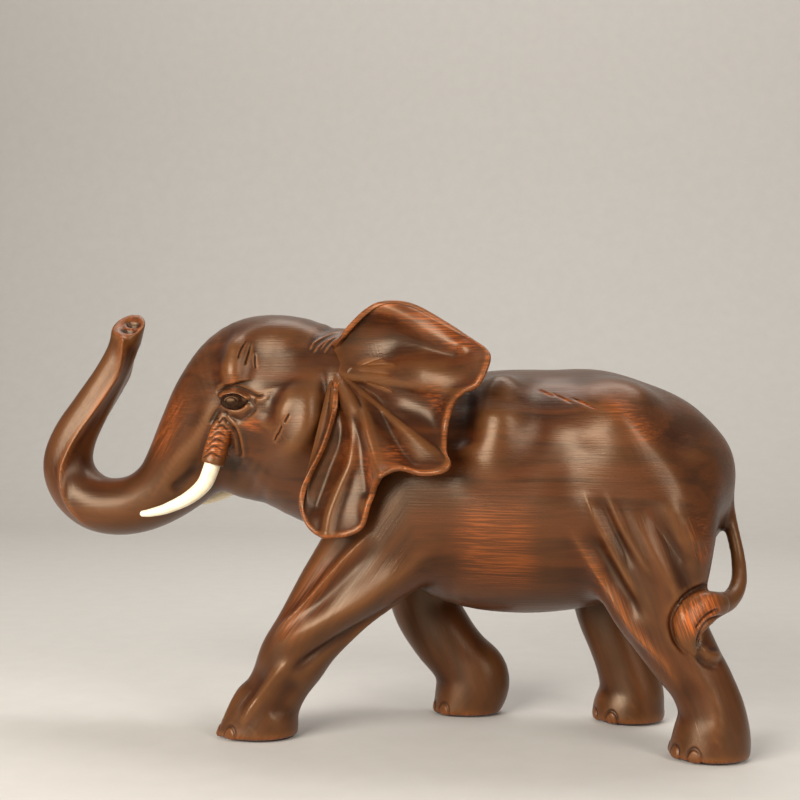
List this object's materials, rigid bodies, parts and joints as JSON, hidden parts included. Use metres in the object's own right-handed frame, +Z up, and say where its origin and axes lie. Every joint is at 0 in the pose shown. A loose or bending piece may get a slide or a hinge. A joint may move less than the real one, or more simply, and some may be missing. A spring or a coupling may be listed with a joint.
{
  "type": "carved wooden elephant",
  "caption": "Walking elephant carved in dark stained wood, trunk raised, with cream tusks set into its head.",
  "frame": {"origin": "on the floor, under the middle of the bounding box", "axes": "+Z up; the elephant faces -X and its left side faces -Y"},
  "size_m": [0.3585, 0.1386, 0.209],
  "materials": {
    "carved_wood": "stained dark brown, waxed to a satin gloss, rubbed to orange on the edges",
    "tusk": "polished cream imitation ivory",
    "eye": "polished, near black",
    "dowel": "plain sanded hardwood",
    "felt": "short felt"
  },
  "bodies": {
    "root": {"body": "carved_wood", "head": "carved_wood", "left_ear": "carved_wood", "right_ear": "carved_wood", "left_tusk": "tusk", "right_tusk": "tusk", "left_eye": "eye", "right_eye": "eye", "neck_dowel_upper": "dowel", "neck_dowel_lower": "dowel", "left_ear_dowel": "dowel", "right_ear_dowel": "dowel", "pad_front_left": "felt", "pad_front_right": "felt", "pad_rear_left": "felt", "pad_rear_right": "felt"}
  },
  "joints": []
}
